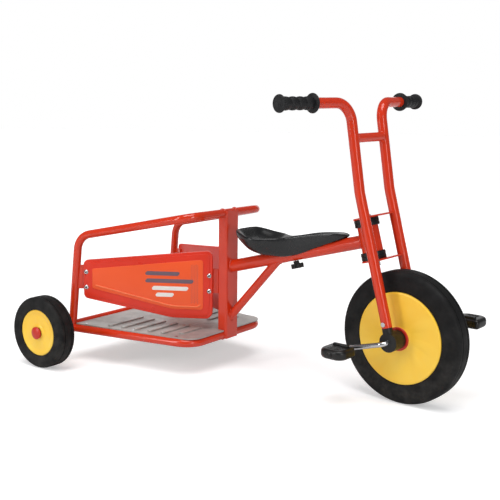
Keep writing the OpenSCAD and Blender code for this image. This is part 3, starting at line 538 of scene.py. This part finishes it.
def pedal_mesh():
    """A padded D shape with a toe ridge near the wheel and grip bars on both faces."""
    x, y, half_t = PEDAL_W / 2, PEDAL_LEN / 2, PEDAL_T / 2
    here = Matrix.Identity(4)
    pad = slab(rounded([(-x, -y), (x, -y), (x, y), (-x, y)], [9, 9, 24, 24], 10),
               -half_t, half_t, 8.5, 7)
    ridge = slab(rounded([(-x + 13, -y + 7), (x - 13, -y + 7), (x - 13, -y + 18),
                          (-x + 13, -y + 18)], [4, 4, 4, 4], 5),
                 half_t - 2, half_t + 5, 3, 4)
    parts = [(pad, here, 0), (ridge, here, 0)]
    for side in (-1, 1):
        for row in range(3):
            middle = -4 + 9 * row
            bar = slab(rounded([(-16, middle - 2), (16, middle - 2), (16, middle + 2),
                                (-16, middle + 2)], [1.9] * 4, 4),
                       half_t - 1, half_t + 1.1, 0.8, 2)
            parts.append((bar, Matrix.Diagonal((1, 1, side, 1)), 0))
    return joined(*parts)


def cap_mesh():
    face = PEDAL_LEN / 2 + 1
    return lathe([(0, face), (6.4, face), (6.8, face + 0.6), (6.2, face + 2.0),
                  (4, face + 2.9), (0, face + 3.2)], steps=40)


for side, name in SIDE_NAME.items():
    joint = JOINTS[f"pedal_{name}_spin"]
    out = AXLE_AXIS * side
    pos = Vector(joint["pos_m"])
    place = axis_place(pos, STEERED_UP, out.cross(STEERED_UP))
    add_piece(f"pedal_pad_{name}", pedal_mesh(), f"pedal_{name}_body", [BLACK_PLASTIC],
              [f"pedal_{name}"], place)
    add_piece(f"pedal_cap_{name}", cap_mesh(), "front_wheel", [BLACK_PLASTIC],
              ["pedal_caps"], axis_place(pos, out))

# ---- deck ribs -----------------------------------------------------------------------------

RIB_PITCH, RIB_IN, RIB_W, RIB_COUNT = 42, 50, 15, 6
RING_HALF, RING_HALF_REAR = 156, 210
DECK_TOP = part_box("deck_plate")[1].z / MM - 1.5


def rib_crowns():
    """Rounded tops over the pressed ribs, which run out towards the sides of the deck."""
    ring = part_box("deck_ring")
    front = ring[1].x / MM - TUBE_D / 2
    rear = JOINTS["rear_wheel_right_spin"]["pos_m"][0] / MM
    parts = []
    for i in range(RIB_COUNT):
        x = front - 60 - i * RIB_PITCH
        half = RING_HALF_REAR + (RING_HALF - RING_HALF_REAR) * (x - rear) / (front - rear)
        end = half - (42 if i == 0 else 22)
        for side in (-1, 1):
            w = RIB_W / 2
            corners = [(x - w, RIB_IN - w), (x + w, RIB_IN - w), (x + w, end + w),
                       (x - w, end + w)]
            crown = slab(rounded(corners, [w - 0.1] * 4, 8), DECK_TOP - 1, DECK_TOP + 3.6, 3.4, 6)
            parts.append((crown, Matrix.Diagonal((1, side, 1, 1)), 0))
    return joined(*parts)


add_piece("deck_rib_crowns", rib_crowns(), "frame", [DECK_SHEET], sharp=50)

# ---- handlebar grips -----------------------------------------------------------------------

LEG_LEAN, BAR_TILT, BAR_SWEEP = (math.radians(a) for a in (14.8, 8.7, 8.4))
LEG_Y, KINK_Z, BAR_Z, BAR_HALF = 63.4, 501, 707, 282
GRIP_LEN = 105
AXLE_Z = FRONT_D / 2

kink_x = -(KINK_Z - AXLE_Z) * math.tan(LEG_LEAN)
bar_x = kink_x - (BAR_Z - KINK_Z) * math.tan(BAR_TILT)
BAR_OUT = Vector((-math.sin(BAR_SWEEP), math.cos(BAR_SWEEP), 0))
BAR_TIP = Vector((bar_x - (BAR_HALF - LEG_Y) * math.tan(BAR_SWEEP), BAR_HALF, BAR_Z - AXLE_Z))


def grip_mesh():
    """End cap, outer flange, four finger bulges, inner flange, and the bore for the tube."""
    bore = FORK_TUBE_D / 2
    bulges = []
    body = GRIP_LEN - 16
    for i in range(49):
        share = i / 48
        swell = abs(math.sin(4 * math.pi * share)) ** 0.8
        bulges.append((12.9 + 2.4 * swell, -8 - body * share))
    profile = (
        [(0, -0.6), (6, -0.4), (7, 0.0), (16.5, 0.0)] + arc((17.5, -2.5), 2.5, 90, 0, 5)
        + [(20, -4.0), (18.6, -5.4), (16.2, -6.4)] + bulges
        + [(17.0, -GRIP_LEN + 7.0), (20.8, -GRIP_LEN + 5.6)]
        + arc((20.6, -GRIP_LEN + 3), 2.0, 60, -70, 6)
        + [(19, -GRIP_LEN), (bore, -GRIP_LEN), (bore, -4), (0, -4)]
    )
    return lathe(profile, steps=72)


for side, name in SIDE_NAME.items():
    flip = Matrix.Diagonal((1, side, 1, 1))
    out = (FORK_PLACE @ flip).to_3x3() @ BAR_OUT
    add_piece(f"grip_sleeve_{name}", grip_mesh(), "fork", [GRIP_RUBBER],
              [f"grip_{name}"], axis_place(FORK_PLACE @ (flip @ (BAR_TIP * MM)), out, Z))

# ---- head bearing caps ----------------------------------------------------------------------

HEAD_LOW, PLATE_T, BUSH_H, HEAD_LEN = 178, 4, 19, 62
BUSH_R, SPIGOT_R, SPIGOT_LEN, KING_BORE_R = 30, 22.5, 22, 8.05
HEAD_BASE = axis_place(STEER_POS, STEER_AXIS)


def bush_mesh():
    """A cap with softened edges and a fine groove, and the spigot inside the head tube."""
    profile = (
        [(KING_BORE_R, 0), (BUSH_R - 2, 0)] + arc((BUSH_R - 2, 2), 2, -90, 0, 4)
        + [(BUSH_R, 8.6), (BUSH_R - 0.8, 9.2), (BUSH_R - 0.8, 9.8), (BUSH_R, 10.4)]
        + arc((BUSH_R - 1.5, BUSH_H - 1.5), 1.5, 0, 90, 4)
        + [(SPIGOT_R, BUSH_H), (SPIGOT_R, BUSH_H + SPIGOT_LEN),
           (KING_BORE_R, BUSH_H + SPIGOT_LEN)]
    )
    return lathe(profile, steps=96, closed=True)


low_cap = Matrix.Translation((0, 0, (HEAD_LOW + PLATE_T + 0.1) * MM))
top_cap = Matrix.Translation((0, 0, (HEAD_LOW + PLATE_T + 0.1 + 2 * BUSH_H + HEAD_LEN) * MM))
over = Matrix.Rotation(math.pi, 4, "X")
add_piece("head_cap_lower", bush_mesh(), "frame", [BLACK_PLASTIC],
          ["head_bush_lower"], HEAD_BASE @ low_cap)
add_piece("head_cap_upper", bush_mesh(), "frame", [BLACK_PLASTIC],
          ["head_bush_upper"], HEAD_BASE @ top_cap @ over)

# ---- saddle ----------------------------------------------------------------------------------

SEAT_LEN, SEAT_W = 308, 150
SEAT_BACK = (AXLE_AHEAD.x / MM) - 468
CHANNEL_HALF = 18.8
CHANNEL_LIFT = 22.0                 # top of the channel over the main tube's middle line

# Fractions of the length from the rear end, with half width, heights and depth there.
SEAT_PLAN = [(0, 0.36), (0.012, 0.64), (0.05, 0.78), (0.115, 0.91), (0.19, 1), (0.25, 0.97),
             (0.3, 0.85), (0.35, 0.66), (0.42, 0.5), (0.5, 0.41), (0.6, 0.35), (0.7, 0.31),
             (0.86, 0.28), (0.96, 0.2), (1, 0.08)]
SEAT_RIM = [(0, 382), (0.03, 380), (0.08, 376), (0.19, 368.5), (0.3, 366.5), (0.38, 367),
            (0.46, 370.5), (0.55, 376), (0.67, 384), (0.82, 390), (0.95, 392), (1, 390)]
SEAT_LOW = [(0, 366), (0.02, 358), (0.09, 343), (0.18, 328), (0.3, 320), (0.41, 319),
            (0.52, 325), (0.63, 337), (0.72, 349), (0.82, 361), (0.9, 371), (0.97, 380),
            (1, 385)]
SEAT_DISH = [(0, 0), (0.03, 3), (0.08, 15), (0.18, 17), (0.30, 12), (0.42, 7), (0.6, 4),
             (1, 1)]


def smooth_lookup(t, table):
    """A value from a table, with a smooth curve through its points."""
    xs = [p[0] for p in table]
    ys = [p[1] for p in table]
    slopes = [0.0] * len(xs)
    for i in range(1, len(xs) - 1):
        before = (ys[i] - ys[i - 1]) / (xs[i] - xs[i - 1])
        after = (ys[i + 1] - ys[i]) / (xs[i + 1] - xs[i])
        slopes[i] = 2 * before * after / (before + after) if before * after > 0 else 0.0
    slopes[0] = (ys[1] - ys[0]) / (xs[1] - xs[0])
    slopes[-1] = (ys[-1] - ys[-2]) / (xs[-1] - xs[-2])
    i = max(k for k in range(len(xs) - 1) if xs[k] <= t)
    span = xs[i + 1] - xs[i]
    s = (t - xs[i]) / span
    return ((2 * s**3 - 3 * s**2 + 1) * ys[i] + (s**3 - 2 * s**2 + s) * span * slopes[i]
            + (3 * s**2 - 2 * s**3) * ys[i + 1] + (s**3 - s**2) * span * slopes[i + 1])


def seat_section(t):
    """The closed outline of the saddle at a fraction of its length."""
    x = SEAT_BACK + SEAT_LEN * t
    half = SEAT_W / 2 * smooth_lookup(t, SEAT_PLAN)
    rim = smooth_lookup(t, SEAT_RIM)
    low = min(smooth_lookup(t, SEAT_LOW), rim - 4)
    dish = smooth_lookup(t, SEAT_DISH)
    lip = min(4.0, (rim - low) / 3, half / 3)
    inner = min(CHANNEL_HALF, 0.7 * half)
    channel = main_at(x * MM).z / MM + CHANNEL_LIFT / MAIN_DIR.x
    roof = min(max(channel, low), rim - dish - 2.5)
    top = []
    for i in range(1, 20):
        y = (half - lip) * math.cos(math.pi * i / 20)
        share = min(1.0, (1 - abs(y) / half) / 0.55)
        top.append((x, y, rim - dish * share * share * (3 - 2 * share)))
    edge = [(half - lip + lip * math.cos(a), rim - lip + lip * math.sin(a))
            for a in (math.radians(d) for d in (0, 25, 50, 75))]
    wall = []
    for i in range(1, 11):
        a = math.radians(90 * i / 10)
        wall.append((inner + (half - inner) * math.cos(a) ** 0.6,
                     rim - lip - (rim - lip - low) * math.sin(a)))
    left = [(x, y, z) for y, z in edge]
    right = [(x, -y, z) for y, z in reversed(edge)]
    down = [(x, -y, z) for y, z in wall]
    up = [(x, y, z) for y, z in reversed(wall)]
    return left + top + right + down + [(x, -inner, roof), (x, inner, roof)] + up


def seat_mesh():
    bm = bmesh.new()
    steps = 44
    loops = []
    for i in range(steps + 1):
        t = (1 - math.cos(math.pi * i / steps)) / 2
        verts = [bm.verts.new(p) for p in seat_section(t)]
        loops.append([bm.edges.new((a, b)) for a, b in zip(verts, verts[1:] + verts[:1])])
    for one, two in zip(loops, loops[1:]):
        bmesh.ops.bridge_loops(bm, edges=one + two)
    for loop in (loops[0], loops[-1]):
        bmesh.ops.contextual_create(bm, geom=loop)
    return bm


add_piece("seat_moulding", seat_mesh(), "saddle", [SADDLE_PLASTIC],
          ["seat"], sharp=48)

# ---- side panels -------------------------------------------------------------------------------

PANEL_T, FIELD_STEP = 14, 3
PLATE = PANEL_T - FIELD_STEP


def panel_place():
    """Place and length of the right panel, from the box of its slanting plate."""
    low, high = (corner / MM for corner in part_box("panel_right"))
    span_x, span_y = high.x - low.x, high.y - low.y
    turn = math.atan2(span_y, span_x)
    for _ in range(20):
        turn = math.atan2(span_y - PLATE * math.cos(turn), span_x - PLATE * math.sin(turn))
    length = (span_x - PLATE * math.sin(turn)) / math.cos(turn)
    start = Vector((low.x + PANEL_T / 2 * math.sin(turn),
                    low.y + (PANEL_T / 2 - FIELD_STEP) * math.cos(turn), 0)) * MM
    place = (Matrix.Translation(start) @ Matrix.Rotation(turn, 4, "Z")
             @ Matrix.Rotation(math.pi / 2, 4, "X"))
    return place, length, low.z, high.z


PANEL_PLACE, PANEL_LEN, PANEL_FOOT, PANEL_HEAD = panel_place()
PANEL_SIDE = {-1: PANEL_PLACE, 1: Matrix.Diagonal((1, -1, 1, 1)) @ PANEL_PLACE}
REAR_LOW, REAR_HIGH, LEVEL_LEN = 177, 281, 110


def panel_corners(inset):
    return [(inset, REAR_LOW + inset * 1.1), (PANEL_LEN - LEVEL_LEN, PANEL_FOOT + inset),
            (PANEL_LEN - inset, PANEL_FOOT + inset), (PANEL_LEN - inset, PANEL_HEAD - inset),
            (inset, REAR_HIGH - inset * 0.9)]


def bead_mesh(path, radius):
    """A half sunk round bead along a path in the plane of the panel."""
    curve = bpy.data.curves.new("bead", "CURVE")
    curve.dimensions = "3D"
    curve.bevel_depth = radius
    curve.bevel_resolution = 4
    curve.use_fill_caps = True
    spline = curve.splines.new("POLY")
    spline.points.add(len(path) - 1)
    for point, at in zip(spline.points, path):
        point.co = (*at, 1)
    holder = bpy.data.objects.new("bead", curve)
    mesh = bpy.data.meshes.new_from_object(holder)
    bm = bmesh.new()
    bm.from_mesh(mesh)
    bpy.data.objects.remove(holder)
    bpy.data.curves.remove(curve)
    bpy.data.meshes.remove(mesh)
    bmesh.ops.remove_doubles(bm, verts=bm.verts, dist=1e-4)
    return bm


def panel_mesh():
    here = Matrix.Identity(4)
    plate = slab(rounded(panel_corners(0), [14, 150, 20, 16, 14]),
                 -PANEL_T / 2, PANEL_T / 2 - FIELD_STEP, 2.6, 4)
    rim_ridge = slab(rounded(panel_corners(8), [9, 150, 14, 11, 9]),
                     PANEL_T / 2 - FIELD_STEP - 1, PANEL_T / 2 - FIELD_STEP + 1.4, 1.1, 4)
    field = slab(rounded(panel_corners(25), [6, 150, 8, 8, 6]),
                 PANEL_T / 2 - FIELD_STEP - 1, PANEL_T / 2, 1.4, 3)
    line = [(x, y, PANEL_T / 2 - 0.2) for x, y in
            rounded(panel_corners(33), [6, 150, 10, 10, 6])[4:23]]
    line.append((line[-1][0] + 4, line[-1][1] + 3, line[-1][2] - 1.5))
    bead = bead_mesh(line, 2.2)
    # The bead's lighter finish (index 2) is a painted highlight.
    return joined((plate, here, 0), (rim_ridge, here, 0), (field, here, 1), (bead, here, 2))


def motif_mesh():
    """Three slanting bars of different length with a short fourth one, plain decoration."""
    bars = []
    slant = 16
    for left, right, low, index in ((168, 300, 226, 0), (186, 286, 206, 1),
                                    (168, 262, 246, 0), (196, 246, 188, 1)):
        corners = [(left, low), (right, low), (right + slant * 0.6, low + 11),
                   (left + slant * 0.6, low + 11)]
        bars.append((slab(rounded(corners, [4, 5, 4, 5], 5), PANEL_T / 2 - 0.2,
                          PANEL_T / 2 + 0.25, 0.12, 1), Matrix.Identity(4), index))
    return joined(*bars)


def dots_mesh():
    """A faint band of small dots up the front of the field."""
    dots = bmesh.new()
    for column in range(5):
        for row in range(22):
            place = Matrix.Translation((PANEL_LEN - 57 + 4.4 * column,
                                        PANEL_FOOT + 44 + 4.8 * row + 2.4 * (column % 2),
                                        PANEL_T / 2 + 0.02))
            bmesh.ops.create_cone(dots, cap_ends=True, segments=8, radius1=1.05, radius2=0.9,
                                  depth=0.2, matrix=place)
    return dots


SCREW_UP = (206.5, 248.5)
SCREW_ALONG = (8, PANEL_LEN - 9)
BRACKET_BACK = -PANEL_T / 2 - 0.1 - 4     # the rear face of the bracket behind a panel


def screw_mesh():
    """A domed head with a hexagon socket on a plain shank; the socket is a dark hexagon disc on the dome, painted
    shade in place of a recess.
    """
    face = PANEL_T / 2 - FIELD_STEP
    head = (
        [(0, BRACKET_BACK - 7), (2.6, BRACKET_BACK - 7), (3, BRACKET_BACK - 6.5), (3, face),
         (6.4, face), (6.7, face + 0.4)]
        + arc((0, face - 3.6), 8.0, 32, 66, 7) + [(3.0, face + 3.5), (0, face + 3.5)]
    )
    body = lathe(head, steps=36)
    # Painted shade: this dark disc stands in for the shade of the hexagon recess.
    socket = bmesh.new()
    bmesh.ops.create_cone(socket, cap_ends=True, segments=6, radius1=2.6, radius2=2.6,
                          depth=0.5,
                          matrix=Matrix.Translation((0, 0, face + 3.4)))
    return joined((body, Matrix.Identity(4), 0), (socket, Matrix.Identity(4), 1))


for side, name in SIDE_NAME.items():
    place = PANEL_SIDE[side]
    add_piece(f"panel_moulding_{name}", panel_mesh(), "frame", [PANEL_RIM, PANEL_FIELD, PANEL_BEAD_PAINTED_HIGHLIGHT],
              [f"panel_{name}"], place)
    add_piece(f"panel_motif_{name}", motif_mesh(), "frame", [MOTIF_GREY, MOTIF_WHITE],
              (), place)
    add_piece(f"panel_dots_{name}", dots_mesh(), "frame", [MOTIF_GREY], (),
              place)
    for i, along in enumerate(SCREW_ALONG):
        for j, up in enumerate(SCREW_UP):
            add_piece(f"panel_screw_{name}_{i + 1}_{j + 1}", screw_mesh(), "frame",
                      [BRIGHT_STEEL, SOCKET_PAINTED_SHADE], ["panel_screws"],
                      place @ Matrix.Translation((along * MM, up * MM, 0)))

# ---- welds ------------------------------------------------------------------------------------


def ring_on_tube(foot, direction, radius, hit):
    """Where the wall of a tube ends: hit gives the length along direction for each line."""
    direction = direction.normalized()
    across = direction.orthogonal().normalized()
    other = direction.cross(across)
    points = []
    steps = 72
    for i in range(steps):
        a = 2 * math.pi * i / steps
        start = foot + radius * (math.cos(a) * across + math.sin(a) * other)
        points.append(start + direction * hit(start, direction))
    return points


def on_plane(point, normal):
    return lambda start, way: (point - start).dot(normal) / way.dot(normal)


def on_tube(point, axis, radius):
    """The nearer crossing of a line with a round tube."""
    axis = axis.normalized()

    def hit(start, way):
        gap = (start - point) - (start - point).dot(axis) * axis
        slope = way - way.dot(axis) * axis
        a, b, c = slope.dot(slope), 2 * gap.dot(slope), gap.dot(gap) - radius * radius
        return (-b - math.sqrt(max(0.0, b * b - 4 * a * c))) / (2 * a)

    return hit


def weld(name, body, points, bead=1.9):
    """A closed weld bead through points in metres, with the ripples of a hand weld."""
    curve = bpy.data.curves.new(name, "CURVE")
    curve.dimensions = "3D"
    curve.bevel_depth = bead * MM
    curve.bevel_resolution = 3
    spline = curve.splines.new("POLY")
    spline.points.add(len(points) - 1)
    spline.use_cyclic_u = True
    for i, (point, at) in enumerate(zip(spline.points, points)):
        point.co = (*at, 1)
        point.radius = 1 + 0.22 * math.sin(i * 2.4) + 0.12 * math.sin(i * 0.9)
    holder = bpy.data.objects.new(name, curve)
    mesh = bpy.data.meshes.new_from_object(holder)
    bm = bmesh.new()
    bm.from_mesh(mesh)
    bpy.data.objects.remove(holder)
    bpy.data.curves.remove(curve)
    bpy.data.meshes.remove(mesh)
    bmesh.ops.remove_doubles(bm, verts=bm.verts, dist=1e-7)
    return add_piece(name, bm, body, [RED_PAINT], (),
                     Matrix.Scale(1 / MM, 4), sharp=80)


COLUMN_LOW, COLUMN_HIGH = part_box("column")
RING_LOW, RING_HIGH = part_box("deck_ring")
RAIL_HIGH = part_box("top_rail")[1]
RING_X = (COLUMN_LOW.x + COLUMN_HIGH.x) / 2
RING_Z = (RING_LOW.z + RING_HIGH.z) / 2
RAIL_Z = RAIL_HIGH.z - TUBE_D / 2 * MM
TUBE_R, FORK_R, MAIN_R, HEAD_R = (d / 2 * MM for d in
                                  (TUBE_D, FORK_TUBE_D, MAIN_TUBE_D, HEAD_TUBE_D))
column_face = on_plane(Vector((COLUMN_HIGH.x, 0, 0)), X)
weld("weld_main_tube_column", "frame",
     ring_on_tube(main_at(COLUMN_HIGH.x + 0.05), -MAIN_DIR, MAIN_R, column_face), 2.2)
weld("weld_main_tube_head", "frame",
     ring_on_tube(main_at(0.20), MAIN_DIR, MAIN_R, on_tube(STEER_POS, STEER_AXIS, HEAD_R)), 2.0)

BRACE_FOOT = Vector((COLUMN_HIGH.x - 0.008, 0, 0.133))
BRACE_HEAD = main_at(AXLE_AHEAD.x - 0.355)
brace_way = (BRACE_HEAD - BRACE_FOOT).normalized()
weld("weld_brace_column", "frame",
     ring_on_tube(BRACE_FOOT + brace_way * 0.06, -brace_way, TUBE_R, column_face))
weld("weld_brace_main_tube", "frame",
     ring_on_tube(BRACE_FOOT + brace_way * 0.04, brace_way, TUBE_R,
                  on_tube(MAIN_POINT, MAIN_DIR, MAIN_R)))
for side, name in SIDE_NAME.items():
    wall = on_plane(Vector((0, side * COLUMN_HIGH.y, 0)), Y)
    for label, height in (("ring", RING_Z), ("rail", RAIL_Z)):
        weld(f"weld_column_{label}_{name}", "frame",
             ring_on_tube(Vector((RING_X, side * 0.06, height)), Y * -side, TUBE_R, wall))
    crossbar_z = 626
    bar_at = kink_x - (crossbar_z - KINK_Z) * math.tan(BAR_TILT)
    middle = FORK_PLACE @ (Vector((bar_at, 0, crossbar_z - AXLE_Z)) * MM)
    upright = FORK_PLACE @ (Vector((bar_at, side * LEG_Y, crossbar_z - AXLE_Z)) * MM)
    up_way = STEERED.to_3x3() @ Vector((-math.sin(BAR_TILT), 0, math.cos(BAR_TILT)))
    weld(f"weld_crossbar_{name}", "fork",
         ring_on_tube(middle, AXLE_AXIS * side, TUBE_R, on_tube(upright, up_way, FORK_R)), 1.5)

# ---- floor, light and camera --------------------------------------------------------------------


def stage_floor():
    bm = bmesh.new()
    bmesh.ops.create_grid(bm, x_segments=1, y_segments=1, size=40)
    mesh = bpy.data.meshes.new("floor")
    bm.to_mesh(mesh)
    bm.free()
    material = bpy.data.materials.new("floor_white")
    material.use_nodes = True
    skin = material.node_tree.nodes["Principled BSDF"]
    skin.inputs["Base Color"].default_value = (0.86, 0.86, 0.865, 1)
    skin.inputs["Roughness"].default_value = 0.8
    skin.inputs["Specular IOR Level"].default_value = 0.1
    skin.inputs["Emission Color"].default_value = (1, 1, 1, 1)
    tree = material.node_tree
    seen = tree.nodes.new("ShaderNodeLightPath")
    lift = remap(tree, seen.outputs["Is Camera Ray"], 0, 1, 0.0, 0.40)
    tree.links.new(lift, skin.inputs["Emission Strength"])
    mesh.materials.append(material)
    floor = bpy.data.objects.new("floor", mesh)
    SCENE.collection.objects.link(floor)
    floor.location.z = min(0.0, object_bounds()[0].z)


def add_softbox(name, place, aim, size, power):
    light = bpy.data.lights.new(name, "AREA")
    light.shape = "RECTANGLE"
    light.size, light.size_y = size
    light.energy = power
    lamp = bpy.data.objects.new(name, light)
    SCENE.collection.objects.link(lamp)
    lamp.location = place
    lamp.rotation_euler = (Vector(aim) - Vector(place)).to_track_quat("-Z", "Y").to_euler()


def studio():
    world = bpy.data.worlds.new("studio")
    SCENE.world = world
    world.use_nodes = True
    tree = world.node_tree
    background = tree.nodes["Background"]
    background.inputs["Color"].default_value = (1, 1, 1, 1)
    seen = tree.nodes.new("ShaderNodeLightPath")
    strength = remap(tree, seen.outputs["Is Camera Ray"], 0, 1, 0.20, 1.0)
    tree.links.new(strength, background.inputs["Strength"])
    sky = bpy.data.lights.new("soft_top", "SUN")
    sky.energy = 1.8
    sky.angle = math.radians(40)
    lamp = bpy.data.objects.new("soft_top", sky)
    SCENE.collection.objects.link(lamp)
    lamp.rotation_euler = (math.radians(14), math.radians(8), 0)
    add_softbox("backdrop", (-1.9, 2.7, 1.0), (0, 0, 0.35), (5.0, 1.8), 26)
    add_softbox("key_left", (-1.3, -3.0, 1.7), (0, 0, 0.3), (0.5, 2.4), 38)
    add_softbox("side_right", (3.0, -1.6, 1.2), (0.2, 0, 0.3), (0.4, 2.4), 24)



def camera():
    data = bpy.data.cameras.new("camera")
    data.lens, data.sensor_width = 62.15, 36.0
    data.clip_end = 100
    eye = bpy.data.objects.new("camera", data)
    SCENE.collection.objects.link(eye)
    eye.location = (1.2591, -1.8503, 0.6625)
    look = Vector((-0.0322, 0.0, 0.3233)) - eye.location
    roll = math.radians(0.68)
    turn = look.to_track_quat("-Z", "Y").to_matrix().to_4x4()
    eye.rotation_euler = (turn @ Matrix.Rotation(roll, 4, "Z")).to_euler()
    SCENE.camera = eye


stage_floor()
studio()
camera()
SCENE.view_settings.view_transform = "Standard"
